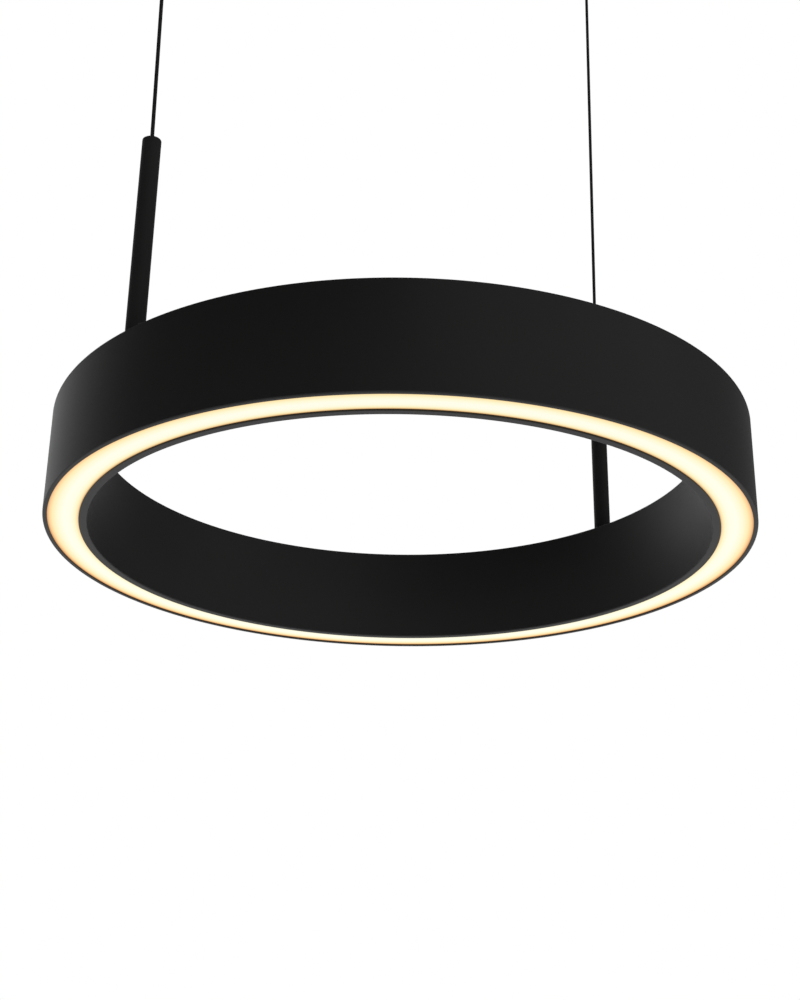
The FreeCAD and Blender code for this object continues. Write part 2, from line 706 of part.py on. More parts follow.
def make_earth():
    x = terminal_x + terminal_pitch
    earth_x, earth_y = earth_place
    diameter, thickness = earth_tag
    under = plate_low - lead_diameter / 2 - seat
    edge = earth_x - diameter / 2 - seat
    tag = pipe(diameter / 2, plate_screw + screw_slack, plate_low - thickness, plate_low, *earth_place)
    lead = round_lead([(x, insert_length / 2, lead_level), (x, earth_row, lead_level),
                       (x + terminal_pitch, earth_row, under), (edge - earth_entry, earth_y, under),
                       (edge, earth_y, under)], lead_diameter / 2, earth_bend)
    keep("earth_lead", tag, lead)
    keep("earth_screw", fixing_screw(earth_place, plate_low - thickness))


def make_tails():
    """Each cable runs on inside the canopy, from the nozzle's mouth to the driver."""
    over = plate_low - cable_diameter
    bend = tail_space - cable_diameter - tail_headroom
    end = nozzle_low + tail_gap
    aside_from, aside_to = tail_aside
    driver_end = driver_x - driver_half
    beside = -driver_width / 2 - tail_beside
    turn = driver_end - lug_length - tail_turn[0]
    last = turn + tail_turn[1]
    left = round_lead([
        (-gripper_x, 0, end), (-gripper_x, 0, over), (-gripper_x + aside_from, 0, over),
        (-gripper_x + aside_to, tail_row, over), (turn, tail_row, over), (last, lead_row, lead_level),
        (driver_end + driver_wall, lead_row, lead_level)], cable_radius, bend)
    right = round_lead([
        (gripper_x, 0, end), (gripper_x, 0, over), (gripper_x - aside_from, 0, over),
        (gripper_x - aside_to, beside, over), (last, beside, over), (turn, beside, lead_level),
        (turn, -lead_row, lead_level), (driver_end + driver_wall, -lead_row, lead_level)], cable_radius, bend)
    keep("tail_left", left)
    keep("tail_right", right)


make_shells()
make_top_plate()
make_brackets_and_posts()
make_tray()
make_boards()
make_diffuser()
make_tubes()
make_feet()
make_drop_leads()
make_cables()
make_grippers()
make_gripper_brackets()
make_ceiling_plate()
make_end_screws()
make_cover()
make_driver()
make_terminals()
make_supply_leads()
make_earth()
make_tails()

os.makedirs("parts", exist_ok=True)
for name, shape in sorted(parts.items()):
    shape.exportStep(f"parts/{name}.step")
    state = "ok" if shape.isValid() and all(solid.Volume > 0 for solid in shape.Solids) else "FAULTY"
    print(f"{name:22s} {len(shape.Solids):3d} solids {shape.Volume / 1000:9.3f} cm3 {state}")
print(len(parts), "nodes")
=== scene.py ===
import bpy
import math
from mathutils import Matrix


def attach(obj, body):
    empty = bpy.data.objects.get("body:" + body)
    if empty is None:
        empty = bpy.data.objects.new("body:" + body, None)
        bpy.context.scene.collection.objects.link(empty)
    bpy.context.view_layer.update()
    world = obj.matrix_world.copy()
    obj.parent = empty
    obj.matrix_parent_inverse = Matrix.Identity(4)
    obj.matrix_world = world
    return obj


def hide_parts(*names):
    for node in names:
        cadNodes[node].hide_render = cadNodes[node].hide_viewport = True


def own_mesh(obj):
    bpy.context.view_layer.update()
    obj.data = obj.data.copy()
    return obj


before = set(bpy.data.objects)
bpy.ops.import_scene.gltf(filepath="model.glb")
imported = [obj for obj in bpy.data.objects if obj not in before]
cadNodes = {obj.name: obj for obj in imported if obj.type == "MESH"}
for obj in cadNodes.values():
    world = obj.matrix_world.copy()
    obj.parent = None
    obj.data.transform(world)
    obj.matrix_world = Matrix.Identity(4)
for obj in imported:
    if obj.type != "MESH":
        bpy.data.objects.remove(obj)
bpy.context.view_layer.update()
bpy.ops.object.select_all(action="DESELECT")
print("Frame loaded:", len(cadNodes), "CAD nodes")


# Camera: below the ring, looking up at it

viewpoint = {
    "place": (-0.8440, -0.8827, -1.3023),
    "heading": -41.894,             # degrees from +Y, negative towards +X
    "pitch": 22.033,                # degrees up
    "roll": 1.522,
    "lens": 54.637,
    "sensor": 36.0,
    "shift": 0.0466,                # the photograph's frame isn't centred on the lens
}


def placeCamera():
    bpy.ops.object.camera_add(location=viewpoint["place"])
    camera = bpy.context.active_object
    camera.name = "lookUpCamera"
    heading = Matrix.Rotation(math.radians(viewpoint["heading"]), 4, "Z")
    pitch = Matrix.Rotation(math.radians(90 + viewpoint["pitch"]), 4, "X")
    roll = Matrix.Rotation(math.radians(viewpoint["roll"]), 4, "Z")
    camera.matrix_world = Matrix.Translation(viewpoint["place"]) @ heading @ pitch @ roll
    camera.data.lens = viewpoint["lens"]
    camera.data.sensor_width = viewpoint["sensor"]
    camera.data.shift_x = viewpoint["shift"]
    bpy.context.scene.camera = camera


placeCamera()
print("Camera placed")


# Modelling helpers

bothSides = ((-1, "left"), (1, "right"))
sharpFrom = 30                      # degrees between two faces, from which their edge is broken


def openPiece(name):                # names the primitive just added and opens it with everything selected
    piece = bpy.context.active_object
    piece.name = piece.data.name = name
    bpy.ops.object.transform_apply(location=True, rotation=True, scale=True)
    bpy.ops.object.mode_set(mode="EDIT")
    bpy.ops.mesh.select_all(action="SELECT")
    return piece


def closePiece(piece):
    bpy.ops.mesh.select_all(action="SELECT")
    bpy.ops.mesh.normals_make_consistent(inside=False)
    bpy.ops.object.mode_set(mode="OBJECT")
    bpy.ops.object.shade_smooth()
    bpy.ops.object.select_all(action="DESELECT")
    return piece


def applyModifier(piece, modifier):
    bpy.context.view_layer.objects.active = piece
    bpy.ops.object.modifier_apply(modifier=modifier.name)


def breakEdges(piece, width, steps=3):
    bevel = piece.modifiers.new("brokenEdges", "BEVEL")
    bevel.width = width
    bevel.segments = steps
    bevel.limit_method = "ANGLE"
    bevel.angle_limit = math.radians(sharpFrom)
    bevel.harden_normals = True
    applyModifier(piece, bevel)
    return piece


def cutWith(piece, cutter):
    cut = piece.modifiers.new("cut", "BOOLEAN")
    cut.operation = "DIFFERENCE"
    cut.object = cutter
    cut.solver = "EXACT"
    applyModifier(piece, cut)
    bpy.data.objects.remove(cutter)


def turnPiece(name, outline, place=(0, 0), segments=96, hollow=False):
    # (radius, height) points turned about the vertical through place; a hollow outline is closed on itself
    radius, height = outline[0]
    bpy.ops.mesh.primitive_circle_add(vertices=segments, radius=radius, location=(*place, height))
    piece = openPiece(name)
    bpy.ops.mesh.select_mode(type="EDGE")
    for nextRadius, nextHeight in outline[1:]:
        bpy.ops.mesh.extrude_edges_move(TRANSFORM_OT_translate={"value": (0, 0, nextHeight - height)})
        ratio = nextRadius / radius
        bpy.ops.transform.resize(value=(ratio, ratio, 1), center_override=(*place, nextHeight))
        radius, height = nextRadius, nextHeight
    bpy.ops.mesh.select_all(action="DESELECT")
    bpy.ops.mesh.select_non_manifold()
    if hollow:
        bpy.ops.mesh.bridge_edge_loops()
    else:
        bpy.ops.mesh.fill_holes(sides=0)
    return closePiece(piece)


def plainSection(sizes):            # the four corners of a plain ring's or tube's section
    return [(sizes["inner"], sizes["low"]), (sizes["outer"], sizes["low"]),
            (sizes["outer"], sizes["high"]), (sizes["inner"], sizes["high"])]


def finishPlace(piece):
    bpy.ops.object.select_all(action="DESELECT")
    piece.select_set(True)
    bpy.context.view_layer.objects.active = piece
    bpy.ops.object.transform_apply(location=True, rotation=True, scale=True)
    bpy.ops.object.select_all(action="DESELECT")


def lieAlongX(piece, place, turn=0):    # lays an upright piece along X, moves it, then turns it about the middle
    piece.matrix_world = (Matrix.Rotation(math.radians(turn), 4, "Z") @ Matrix.Translation(place)
                          @ Matrix.Rotation(math.radians(90), 4, "Y"))
    finishPlace(piece)


def addPiece(piece, body, slot, finish, *standsFor):
    piece.data.materials.clear()
    piece.data.materials.append(finish)
    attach(piece, body)
    if standsFor:
        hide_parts(*standsFor)
    return piece


# Node helpers

noiseReach = (0.3, 0.7)             # nearly all of a noise pattern's values lie between these


def newFinish(name, colour, roughness, metallic=0.0, specular=0.5):
    finish = bpy.data.materials.new(name)
    finish.use_nodes = True
    shader = finish.node_tree.nodes["Principled BSDF"]
    shader.inputs["Base Color"].default_value = (*colour, 1)
    shader.inputs["Roughness"].default_value = roughness
    shader.inputs["Metallic"].default_value = metallic
    shader.inputs["Specular IOR Level"].default_value = specular
    return finish, finish.node_tree, shader


def noise(tree, scale, detail=2.0, stretch=(1, 1, 1)):
    coords = tree.nodes.new("ShaderNodeTexCoord")
    mapping = tree.nodes.new("ShaderNodeMapping")
    pattern = tree.nodes.new("ShaderNodeTexNoise")
    mapping.inputs["Scale"].default_value = stretch
    pattern.inputs["Scale"].default_value = scale
    pattern.inputs["Detail"].default_value = detail
    tree.links.new(coords.outputs["Object"], mapping.inputs["Vector"])
    tree.links.new(mapping.outputs["Vector"], pattern.inputs["Vector"])
    return pattern.outputs["Fac"]


def stripes(tree, direction, scale):
    coords = tree.nodes.new("ShaderNodeTexCoord")
    wave = tree.nodes.new("ShaderNodeTexWave")
    wave.bands_direction = direction
    wave.inputs["Scale"].default_value = scale
    tree.links.new(coords.outputs["Object"], wave.inputs["Vector"])
    return wave.outputs["Fac"]


def axes(tree, coordinates):        # X, Y and Z of the place being shaded
    coords = tree.nodes.new("ShaderNodeTexCoord")
    split = tree.nodes.new("ShaderNodeSeparateXYZ")
    tree.links.new(coords.outputs[coordinates], split.inputs["Vector"])
    return split.outputs


def calculate(tree, operation, *values):        # each value is a number or another node's output
    step = tree.nodes.new("ShaderNodeMath")
    step.operation = operation
    for socket, value in zip(step.inputs, values):
        if isinstance(value, float):
            socket.default_value = value
        else:
            tree.links.new(value, socket)
    return step.outputs["Value"]


def rescale(tree, value, fromRange, toRange=(0.0, 1.0)):
    limits = tree.nodes.new("ShaderNodeMapRange")
    limits.inputs["From Min"].default_value, limits.inputs["From Max"].default_value = fromRange
    limits.inputs["To Min"].default_value, limits.inputs["To Max"].default_value = toRange
    tree.links.new(value, limits.inputs["Value"])
    return limits.outputs["Result"]


def ramp(tree, factor, stops, target):      # stops are (position, colour)
    colours = tree.nodes.new("ShaderNodeValToRGB")
    elements = colours.color_ramp.elements
    while len(elements) < len(stops):
        elements.new(0.5)
    for element, (position, colour) in zip(elements, stops):
        element.position = position
        element.color = (*colour, 1)
    tree.links.new(factor, colours.inputs["Fac"])
    tree.links.new(colours.outputs["Color"], target)


def mottle(tree, shader, pattern, colour, shares, reach=noiseReach):    # shares of the colour, darkest and lightest
    stops = [(at, tuple(channel * share for channel in colour)) for at, share in zip(reach, shares)]
    ramp(tree, pattern, stops, shader.inputs["Base Color"])


def varyRoughness(tree, shader, pattern, low, high):
    tree.links.new(rescale(tree, pattern, noiseReach, (low, high)), shader.inputs["Roughness"])


def bump(tree, shader, height, strength, distance):
    relief = tree.nodes.new("ShaderNodeBump")
    relief.inputs["Strength"].default_value = strength
    relief.inputs["Distance"].default_value = distance
    tree.links.new(height, relief.inputs["Height"])
    tree.links.new(relief.outputs["Normal"], shader.inputs["Normal"])


# Finishes: each relief is a strength and a distance in metres

powderCoat = {
    "colour": (0.0070, 0.0069, 0.0068),
    "roughness": (0.50, 0.60),
    "specular": 0.30,
    "grain": 1500.0,                # fine pebbles of the coat, about 0.7 mm apart
    "cloud": 9.0,                   # broad patches, barely darker or lighter
    "detail": 3.0,
    "mottle": (0.85, 1.15),
    "relief": (0.35, 0.00006),
}

tubeCoat = {
    **powderCoat,                   # flatter than the ring's: the tubes stay dark right to their edges
    "colour": (0.0165, 0.0162, 0.0160),
    "roughness": (0.62, 0.72),
    "specular": 0.12,
}


def powderCoatFinish(name, coat):
    finish, tree, shader = newFinish(name, coat["colour"], coat["roughness"][0], specular=coat["specular"])
    cloud = noise(tree, coat["cloud"], coat["detail"])
    grain = noise(tree, coat["grain"], coat["detail"])
    mottle(tree, shader, cloud, coat["colour"], coat["mottle"])
    varyRoughness(tree, shader, grain, *coat["roughness"])
    bump(tree, shader, grain, *coat["relief"])
    return finish


litDiffuser = {
    "base": (0.05, 0.045, 0.038),
    "roughness": 0.45,
    "specular": 0.2,
    "grain": 2500.0,
    "relief": (0.1, 0.00003),
    "radii": (0.2658, 0.2977),
    "glow": 1.0,
    "bands": [                      # share of the width from the inner edge, and the colour there
        (0.14, (0.62, 0.34, 0.13)),
        (0.18, (0.90, 0.68, 0.34)),
        (0.24, (0.93, 0.85, 0.53)),
        (0.34, (0.93, 0.90, 0.71)),
        (0.52, (0.93, 0.91, 0.76)),
        (0.68, (0.93, 0.87, 0.61)),
        (0.82, (0.93, 0.76, 0.39)),
        (0.90, (0.90, 0.54, 0.22)),
        (0.96, (0.62, 0.28, 0.10)),
    ],
}


def litDiffuserFinish():
    finish, tree, shader = newFinish("litOpalAcrylic", litDiffuser["base"], litDiffuser["roughness"],
                                     specular=litDiffuser["specular"])
    place = axes(tree, "Object")
    level = tree.nodes.new("ShaderNodeCombineXYZ")
    radius = tree.nodes.new("ShaderNodeVectorMath")
    radius.operation = "LENGTH"
    tree.links.new(place["X"], level.inputs["X"])
    tree.links.new(place["Y"], level.inputs["Y"])
    tree.links.new(level.outputs["Vector"], radius.inputs[0])
    across = rescale(tree, radius.outputs["Value"], litDiffuser["radii"])
    ramp(tree, across, litDiffuser["bands"], shader.inputs["Emission Color"])
    shader.inputs["Emission Strength"].default_value = litDiffuser["glow"]
    bump(tree, shader, noise(tree, litDiffuser["grain"]), *litDiffuser["relief"])
    return finish


finishes = {                        # slot: colour, roughness, metallic, pattern scale, stretch, relief in metres
    "zinc_steel": ((0.50, 0.51, 0.53), 0.36, 1.0, 90.0, (1, 6, 6), 0.00004),
    "aluminium_rivet": ((0.70, 0.71, 0.73), 0.34, 1.0, 300.0, (1, 1, 1), 0.00003),
    "nickel": ((0.56, 0.54, 0.50), 0.30, 1.0, 400.0, (1, 1, 5), 0.00002),
    "bearing_steel": ((0.55, 0.55, 0.56), 0.16, 1.0, 500.0, (1, 1, 1), 0.00001),
    "spring_steel": ((0.44, 0.44, 0.46), 0.28, 1.0, 350.0, (1, 1, 4), 0.00002),
    "driver_plastic": ((0.74, 0.74, 0.72), 0.50, 0.0, 900.0, (1, 1, 1), 0.00005),
    "terminal_nylon": ((0.70, 0.70, 0.65), 0.42, 0.0, 500.0, (1, 1, 1), 0.00003),
    "terminal_brass": ((0.66, 0.47, 0.20), 0.30, 1.0, 350.0, (1, 5, 5), 0.00003),
    "bush_rubber": ((0.022, 0.022, 0.022), 0.75, 0.0, 1100.0, (1, 1, 1), 0.00006),
    "lead_brown": ((0.17, 0.075, 0.03), 0.40, 0.0, 300.0, (1, 1, 1), 0.00002),
    "lead_white": ((0.74, 0.74, 0.71), 0.45, 0.0, 300.0, (1, 1, 1), 0.00002),
    "tray_aluminium": ((0.68, 0.69, 0.71), 0.40, 1.0, 60.0, (1, 12, 1), 0.00004),
    "board_white": ((0.78, 0.78, 0.75), 0.32, 0.0, 700.0, (1, 1, 1), 0.00002),
}

plainPattern = {                    # what those finishes share
    "detail": 4.0,
    "reach": (0.25, 0.75),
    "mottle": (0.82, 1.08),
    "roughness": (0.85, 1.20),      # shares of the finish's own
    "strength": 0.4,
}


def plainFinish(slot):
    colour, roughness, metallic, scale, stretch, relief = finishes[slot]
    smoothest, roughest = plainPattern["roughness"]
    finish, tree, shader = newFinish(slot + "Finish", colour, roughness, metallic)
    pattern = noise(tree, scale, plainPattern["detail"], stretch)
    mottle(tree, shader, pattern, colour, plainPattern["mottle"], plainPattern["reach"])
    varyRoughness(tree, shader, pattern, roughness * smoothest, roughness * roughest)
    bump(tree, shader, pattern, plainPattern["strength"], relief)
    return finish


striped = {
    "green": (0.05, 0.30, 0.05),
    "yellow": (0.75, 0.62, 0.05),
    "stripes": 260.0,
    "change": (0.45, 0.55),         # where green turns to yellow
    "roughness": 0.4,
    "grain": 400.0,
    "relief": (0.2, 0.00002),
}


def earthLeadFinish():
    finish, tree, shader = newFinish("greenAndYellowInsulation", striped["green"], striped["roughness"])
    stops = zip(striped["change"], (striped["green"], striped["yellow"]))
    ramp(tree, stripes(tree, "Z", striped["stripes"]), list(stops), shader.inputs["Base Color"])
    bump(tree, shader, noise(tree, striped["grain"]), *striped["relief"])
    return finish


circuit = {
    "mask": (0.02, 0.16, 0.06),
    "parts": (0.05, 0.05, 0.055),
    "tape": (0.55, 0.38, 0.05),
    "deck": -0.0248,                # height of the board's upper face
    "below": 0.001,                 # the colours are spread from this far below the deck
    "above": 0.016,                 # to this far above it
    "roughness": (0.25, 0.45),
    "grain": 900.0,
    "detail": 4.0,
    "relief": (0.3, 0.00003),
}


def circuitBoardFinish():
    mask, parts, tape = (circuit[key] for key in ("mask", "parts", "tape"))
    finish, tree, shader = newFinish("circuitBoard", mask, circuit["roughness"][0])
    reach = (circuit["deck"] - circuit["below"], circuit["deck"] + circuit["above"])
    height = rescale(tree, axes(tree, "Object")["Z"], reach)
    stops = [(0.05, mask), (0.08, parts), (0.70, parts), (0.74, tape)]
    ramp(tree, height, stops, shader.inputs["Base Color"])
    grain = noise(tree, circuit["grain"], circuit["detail"])
    varyRoughness(tree, shader, grain, *circuit["roughness"])
    bump(tree, shader, grain, *circuit["relief"])
    return finish


jacket = {
    "colour": (0.012, 0.012, 0.012),
    "roughness": 0.60,
    "specular": 0.12,
    "strands": 330.0,
    "lay": (0.15, 0.00004),         # relief of the strand's lay under the jacket
    "grain": 900.0,
    "mottle": (0.8, 1.4),
}


def cableFinish():
    finish, tree, shader = newFinish("blackCableJacket", jacket["colour"], jacket["roughness"],
                                     specular=jacket["specular"])
    bump(tree, shader, stripes(tree, "DIAGONAL", jacket["strands"]), *jacket["lay"])
    mottle(tree, shader, noise(tree, jacket["grain"]), jacket["colour"], jacket["mottle"])
    return finish


phosphor = {
    "colour": (0.85, 0.62, 0.18),
    "roughness": 0.4,
    "cells": 1500.0,
    "mottle": (0.85, 1.0),
    "glow": (1.0, 0.80, 0.48),
    "strength": 1.0,
}


def phosphorFinish():
    finish, tree, shader = newFinish("litPhosphor", phosphor["colour"], phosphor["roughness"])
    mottle(tree, shader, noise(tree, phosphor["cells"]), phosphor["colour"], phosphor["mottle"])
    shader.inputs["Emission Color"].default_value = (*phosphor["glow"], 1)
    shader.inputs["Emission Strength"].default_value = phosphor["strength"]
    return finish


finishOf = {slot: plainFinish(slot) for slot in finishes}
finishOf["powder_black"] = powderCoatFinish("blackPowderCoat", powderCoat)
finishOf["opal_acrylic"] = litDiffuserFinish()
finishOf["earth_green"] = earthLeadFinish()
finishOf["circuit_board"] = circuitBoardFinish()
finishOf["cable_black"] = cableFinish()
finishOf["led_phosphor"] = phosphorFinish()
tubeFinish = powderCoatFinish("flatTubeCoat", tubeCoat)

for node in cadNodes.values():
    for holder in node.material_slots:
        holder.material = finishOf[holder.material.name.split(".")[0]]
print("Finishes made:", len(finishOf))


# Ring: walls with their lips, lid and diffuser

ring = {
    "outer": 0.300,
    "inner": 0.2635,
    "low": -0.8500,
    "high": -0.7615,
    "sheet": 0.0016,
    "outerLip": 0.0038,
    "innerLip": 0.0069,
    "fold": 0.0012,                 # radius outside the fold between wall and lip
    "foldSteps": 6,
    "edge": 0.00035,
    "segments": 288,
}


def makeShell(name, face, inwards, lipWidth):       # inwards is -1 or 1, from the face into the ring
    low, high, sheet, fold, steps = (ring[key] for key in ("low", "high", "sheet", "fold", "foldSteps"))
    wall, lip = face + inwards * sheet, face + inwards * lipWidth
    turns = [math.radians(90 * step / steps) for step in range(steps + 1)]
    corner = [(face + inwards * fold * (1 - math.sin(turn)), low + fold * (1 - math.cos(turn))) for turn in turns]
    outline = [(lip, low), *corner, (face, high), (wall, high), (wall, low + sheet), (lip, low + sheet)]
    return breakEdges(turnPiece(name, outline, segments=ring["segments"], hollow=True), ring["edge"])


def makeRing():
    for name, side, inwards, node in (("outerWall", "outer", -1, "outer_shell"),
                                      ("innerWall", "inner", 1, "inner_shell")):
        shell = makeShell(name, ring[side], inwards, ring[side + "Lip"])
        addPiece(shell, "pendant", "powder_black", finishOf["powder_black"], node)


makeRing()
print("Ring walls turned")


lid = {
    "inner": 0.2652,
    "outer": 0.2983,
    "low": -0.7631,
    "high": -0.7615,
    "edge": 0.0002,
    "edgeSteps": 2,
    "middle": 0.28175,
    "screwAngles": (45, 135, 225, 315),
    "sink": (0.0017, 0.00325),      # radius of each screw's hole below and above
    "stem": 0.0051,
    "holeSegments": 48,
    "clear": 0.001,                 # how far a cutter stands out of the sheet
    "sinkClear": 0.0005,            # the same above a countersink
}


def makeLid():
    low, high, clear, sinkClear = (lid[key] for key in ("low", "high", "clear", "sinkClear"))
    plate = turnPiece("ringLid", plainSection(lid), segments=ring["segments"], hollow=True)
    below, above = lid["sink"]
    slope = (above - below) / (high - low)
    cone = [(below, low - clear), (below, low), (above + slope * sinkClear, high + sinkClear)]
    for angle in lid["screwAngles"]:
        place = [lid["middle"] * turn(math.radians(angle)) for turn in (math.cos, math.sin)]
        cutWith(plate, turnPiece("sinkCutter", cone, place, lid["holeSegments"]))
    shaft = [(lid["stem"], low - clear), (lid["stem"], high + clear)]
    for side, name in bothSides:
        cutWith(plate, turnPiece(name + "StemCutter", shaft, (side * lid["middle"], 0), lid["holeSegments"]))
    breakEdges(plate, lid["edge"], lid["edgeSteps"])
    addPiece(plate, "pendant", "powder_black", finishOf["powder_black"], "top_plate")


makeLid()
print("Ring lid made")


panel = {
    "inner": 0.2658,
    "outer": 0.2977,
    "low": -0.8484,
    "high": -0.8459,
    "edge": 0.0003,
    "edgeSteps": 2,
}


def makeDiffuser():
    diffuser = turnPiece("opalDiffuser", plainSection(panel), segments=ring["segments"], hollow=True)
    breakEdges(diffuser, panel["edge"], panel["edgeSteps"])
    addPiece(diffuser, "pendant", "opal_acrylic", finishOf["opal_acrylic"], "diffuser")


makeDiffuser()
print("Diffuser made")


# Suspension: tubes and wires

tube = {
    "outer": 0.00775,
    "inner": 0.00675,
    "low": -0.7615,
    "high": -0.5755,
    "x": 0.28175,
    "edge": 0.00035,
}


def makeTubes():
    for side, name in bothSides:
        piece = turnPiece(name + "Tube", plainSection(tube), (side * tube["x"], 0), hollow=True)
        breakEdges(piece, tube["edge"])
        addPiece(piece, "pendant", "powder_black", tubeFinish, "tube_" + name)


makeTubes()
print("Tubes made")


wire = {
    "top": (0.292, 0, -0.0440),
    "middle": (0.286875, 0, -0.3117),
    "foot": (0.28175, 0, -0.5794),
    "diameter": 0.0032,
    "length": 0.5355,
    "roundness": 8,
    "kept": 0.2530,                 # share of the wire still outside the canopy when the ring is raised
}


def meshOf(curve):
    return bpy.data.meshes.new_from_object(curve.evaluated_get(bpy.context.evaluated_depsgraph_get()))


def makeWires():
    for side, name in bothSides:
        route = [(side * x, y, z) for x, y, z in (wire["top"], wire["middle"], wire["foot"])]
        line = bpy.data.curves.new(name + "WireLine", "CURVE")
        line.dimensions = "3D"
        spline = line.splines.new("NURBS")
        spline.points.add(len(route) - 1)
        for point, place in zip(spline.points, route):
            point.co = (*place, 1)
        spline.order_u = len(route)
        spline.use_endpoint_u = True
        run = bpy.data.objects.new(name + "Wire", line)
        bpy.context.scene.collection.objects.link(run)
        path = [tuple(vertex.co) for vertex in bpy.data.meshes.new_from_object(run).vertices]
        line.bevel_depth = wire["diameter"] / 2
        line.bevel_resolution = wire["roundness"]
        line.use_fill_caps = True
        bpy.context.view_layer.update()
        piece = bpy.data.objects.new(name + "SteelWire", meshOf(run))
        bpy.context.scene.collection.objects.link(piece)
        bpy.data.objects.remove(run)
        piece.data.shade_smooth()
        addPiece(piece, "cables", "cable_black", finishOf["cable_black"], "cable_" + name)
        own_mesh(piece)


makeWires()
print("Wires strung")


# Ceiling fitting: canopy cover, end screws and cable grippers

canopy = {
    "length": 0.620,
    "width": 0.050,
    "depth": 0.034,
    "sheet": 0.001,
    "edge": 0.0006,
    "barrelX": 0.292,
    "barrelHole": 0.0065,
    "barrelCut": (-0.002, 0.003),   # the hole's cutter, from below the floor of the channel to above it
    "slot": 0.0023,
    "slotDepth": 0.011,
    "slotReach": 0.003,             # the slot's cutters, each way from the end's outer face
    "slotClear": 0.001,
    "slotSegments": 48,
}


def openChannel(cover, wall, floor):        # insets the block's upper face by the wall and sinks it to the floor
    bpy.ops.mesh.select_mode(type="FACE")
    bpy.ops.mesh.select_all(action="DESELECT")
    bpy.ops.object.mode_set(mode="OBJECT")
    for face in cover.data.polygons:
        face.select = face.normal.z > 0.9
    bpy.ops.object.mode_set(mode="EDIT")
    bpy.ops.mesh.inset(thickness=wall)
    bpy.ops.mesh.extrude_region_move(TRANSFORM_OT_translate={"value": (0, 0, floor)})


def makeCover():
    length, width, depth, sheet = (canopy[key] for key in ("length", "width", "depth", "sheet"))
    slot, slotDepth, reach, clear = (canopy[key] for key in ("slot", "slotDepth", "slotReach", "slotClear"))
    bpy.ops.mesh.primitive_cube_add(size=1, location=(0, 0, -depth / 2), scale=(length, width, depth))
    cover = openPiece("canopyCover")
    openChannel(cover, sheet, sheet - depth)
    closePiece(cover)
    barrel = [(canopy["barrelHole"], end - depth) for end in canopy["barrelCut"]]
    for side, name in bothSides:
        cutWith(cover, turnPiece(name + "BarrelCutter", barrel, (side * canopy["barrelX"], 0)))
        slotEnd = turnPiece(name + "SlotCutter", [(slot, -reach), (slot, reach)], segments=canopy["slotSegments"])
        lieAlongX(slotEnd, (side * length / 2, 0, -slotDepth))
        cutWith(cover, slotEnd)
        bpy.ops.mesh.primitive_cube_add(size=1, location=(side * length / 2, 0, -slotDepth / 2 + clear),
                                        scale=(2 * reach, 2 * slot, slotDepth + 2 * clear))
        cutWith(cover, closePiece(openPiece(name + "SlotMouthCutter")))
    breakEdges(cover, canopy["edge"])
    addPiece(cover, "cover", "powder_black", finishOf["powder_black"], "cover")


makeCover()
print("Canopy cover made")


endScrew = {
    "x": 0.3101,
    "z": -0.011,
    "head": (0.0040, 0.0026),       # radius and height
    "shank": (0.0020, 0.0076),
    "segments": 64,
    "key": 0.0014,                  # hexagon socket, to its corners
    "keyDepth": 0.0014,
    "keyClear": 0.001,
    "edge": 0.0008,
    "edgeSteps": 5,
}


def makeEndScrews():
    headRadius, headHeight = endScrew["head"]
    shankRadius, shankLength = endScrew["shank"]
    outline = [(shankRadius, -shankLength), (shankRadius, 0), (headRadius, 0), (headRadius, headHeight)]
    key = [(endScrew["key"], headHeight - endScrew["keyDepth"]), (endScrew["key"], headHeight + endScrew["keyClear"])]
    made = []
    for turn in (180, 0):
        screw = turnPiece("endScrew", outline, segments=endScrew["segments"])
        breakEdges(screw, endScrew["edge"], endScrew["edgeSteps"])
        cutWith(screw, turnPiece("keyCutter", key, segments=6))
        lieAlongX(screw, (endScrew["x"], 0, endScrew["z"]), turn)
        made.append(screw)
    for screw in made:
        screw.select_set(True)
    bpy.context.view_layer.objects.active = made[0]
    bpy.ops.object.join()
    bpy.ops.object.select_all(action="DESELECT")
    made[0].name = "canopyEndScrews"
    addPiece(made[0], "root", "powder_black", finishOf["powder_black"], "cover_screws")


makeEndScrews()
print("End screws made")


gripper = {
    "x": 0.292,
    "profile": [(0.00395, -0.039), (0.006, -0.039), (0.006, -0.019), (0.008, -0.019), (0.008, -0.016),
                (0.0054, -0.016), (0.0054, -0.013), (0.00195, -0.013), (0.00195, -0.016), (0.0048, -0.016),
                (0.0048, -0.028), (0.00405, -0.035), (0.00395, -0.035)],
    "edge": 0.0003,
    "edgeSteps": 2,
}


def makeGrippers():
    for side, name in bothSides:
        body = turnPiece(name + "GripperBarrel", gripper["profile"], (side * gripper["x"], 0), hollow=True)
        breakEdges(body, gripper["edge"], gripper["edgeSteps"])
        addPiece(body, "root", "nickel", finishOf["nickel"], "gripper_body_" + name)


gripSpring = {
    "radius": 0.003375,
    "wire": 0.0004,
    "wireSides": 12,
    "low": -0.02685,
    "high": -0.0164,
    "turns": 6,
    "turnSteps": 32,
    "held": -0.016,                 # upper end of the spring, which stays put
    "travel": 0.002,
}


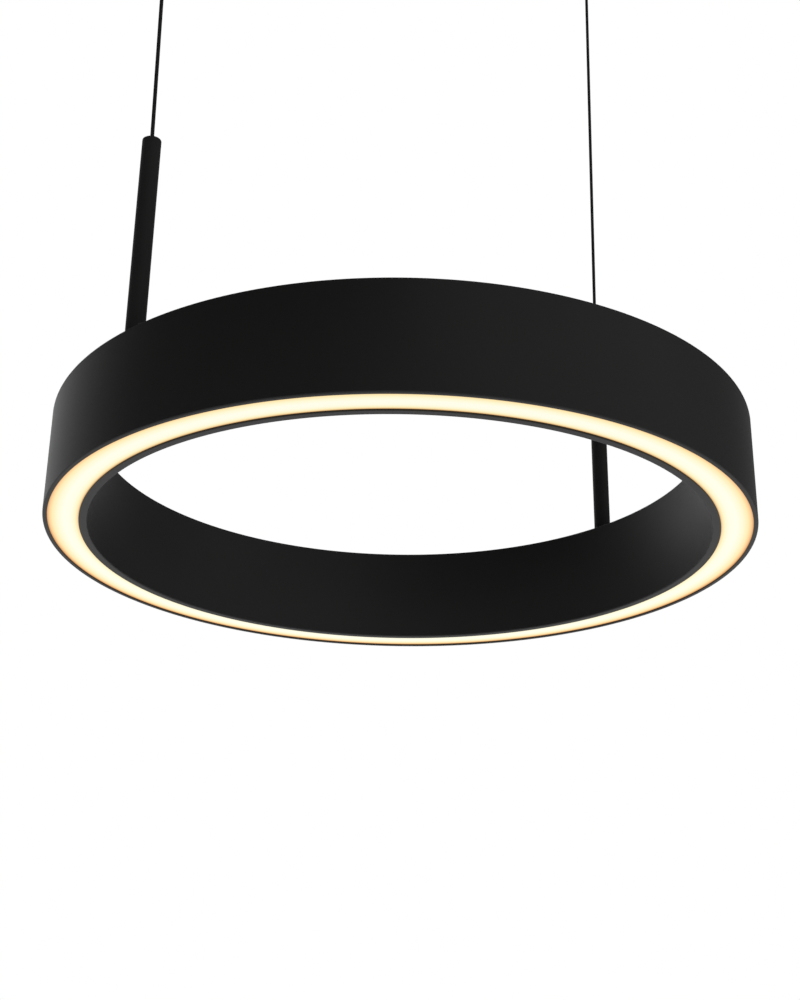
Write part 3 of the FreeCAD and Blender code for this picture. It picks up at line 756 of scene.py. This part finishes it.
def makeSprings():
    wireRadius, low, high, turns = (gripSpring[key] for key in ("wire", "low", "high", "turns"))
    for side, name in bothSides:
        bpy.ops.mesh.primitive_circle_add(vertices=gripSpring["wireSides"], radius=wireRadius,
                                          location=(gripSpring["radius"], 0, low), rotation=(math.radians(90), 0, 0))
        spring = openPiece(name + "GripSpring")
        bpy.ops.object.mode_set(mode="OBJECT")
        coil = spring.modifiers.new("coil", "SCREW")
        coil.angle = math.radians(360)
        coil.screw_offset = (high - low) / turns
        coil.iterations = turns
        coil.steps = coil.render_steps = gripSpring["turnSteps"]
        coil.use_merge_vertices = True
        applyModifier(spring, coil)
        spring.location = (side * gripper["x"], 0, 0)
        finishPlace(spring)
        spring.select_set(True)
        bpy.context.view_layer.objects.active = spring
        bpy.ops.object.mode_set(mode="EDIT")
        bpy.ops.mesh.select_all(action="DESELECT")
        bpy.ops.mesh.select_non_manifold()
        bpy.ops.mesh.fill_holes(sides=0)
        closePiece(spring)
        addPiece(spring, "root", "spring_steel", finishOf["spring_steel"], "grip_spring_" + name)
        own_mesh(spring)


makeGrippers()
makeSprings()
print("Cable grippers made")


# Studio: light from all round the horizon, and a pale floor

studio = {
    "floor": -3.0,
    "floorSize": 60.0,
    "floorColour": (0.80, 0.80, 0.79),
    "floorRoughness": 0.9,
    "floorLight": 0.8,
    "floorWhite": 0.93,             # the rest shows the object's soft shadow
    "facing": -133.8,               # degrees: from the ring towards the camera
    "round": [                      # share of a turn, and the grey level there; the turn starts behind the
        (0.00, 1.00),               # ring and goes through its left as the camera sees it
        (0.10, 1.58),
        (0.20, 0.16),
        (0.27, 0.02),
        (0.50, 0.02),
        (0.55, 0.62),
        (0.61, 0.45),
        (0.67, 0.35),
        (0.73, 0.75),
        (0.80, 0.06),
        (0.90, 0.30),
        (1.00, 1.00),
    ],
}


def anyRay(tree, *kinds):           # 1 for a ray of any of these kinds
    rays = tree.nodes.new("ShaderNodeLightPath")
    found = rays.outputs[kinds[0]]
    for kind in kinds[1:]:
        found = calculate(tree, "MAXIMUM", found, rays.outputs[kind])
    return found


def chooseShader(tree, first, second):      # the mix's output, and the socket for the second one's share
    mix = tree.nodes.new("ShaderNodeMixShader")
    tree.links.new(first, mix.inputs[1])
    tree.links.new(second, mix.inputs[2])
    return mix.outputs["Shader"], mix.inputs["Fac"]


def makeWorld():
    world = bpy.data.worlds.new("paleStudio")
    bpy.context.scene.world = world
    world.use_nodes = True
    tree = world.node_tree
    tree.nodes.clear()
    soft = tree.nodes.new("ShaderNodeBackground")
    plain = tree.nodes.new("ShaderNodeBackground")
    plain.inputs["Color"].default_value = (1, 1, 1, 1)
    way = axes(tree, "Generated")
    bearing = calculate(tree, "ARCTAN2", way["Y"], way["X"])
    turn = calculate(tree, "MULTIPLY_ADD", bearing, 1 / (2 * math.pi), 0.5 - studio["facing"] / 360)
    levels = [(share, (level,) * 3) for share, level in studio["round"]]
    ramp(tree, calculate(tree, "FRACT", turn), levels, soft.inputs["Color"])
    surface, share = chooseShader(tree, soft.outputs["Background"], plain.outputs["Background"])
    tree.links.new(anyRay(tree, "Is Camera Ray", "Is Transmission Ray"), share)
    tree.links.new(surface, tree.nodes.new("ShaderNodeOutputWorld").inputs["Surface"])


def makeFloor():
    bpy.ops.mesh.primitive_plane_add(size=studio["floorSize"], location=(0, 0, studio["floor"]))
    floor = closePiece(openPiece("paleFloor"))
    paint, tree, shader = newFinish("palePaint", studio["floorColour"], studio["floorRoughness"])
    white = tree.nodes.new("ShaderNodeEmission")
    lit = tree.nodes.new("ShaderNodeEmission")      # the floor as it lights the lamp from below
    lit.inputs["Strength"].default_value = studio["floorLight"]
    seen, whiteShare = chooseShader(tree, shader.outputs["BSDF"], white.outputs["Emission"])
    whiteShare.default_value = studio["floorWhite"]
    surface, share = chooseShader(tree, lit.outputs["Emission"], seen)
    tree.links.new(anyRay(tree, "Is Camera Ray", "Is Glossy Ray", "Is Transmission Ray"), share)
    tree.links.new(surface, tree.nodes["Material Output"].inputs["Surface"])
    floor.data.materials.append(paint)


makeWorld()
makeFloor()
bpy.context.scene.view_settings.view_transform = "Standard"
print("Studio lit")
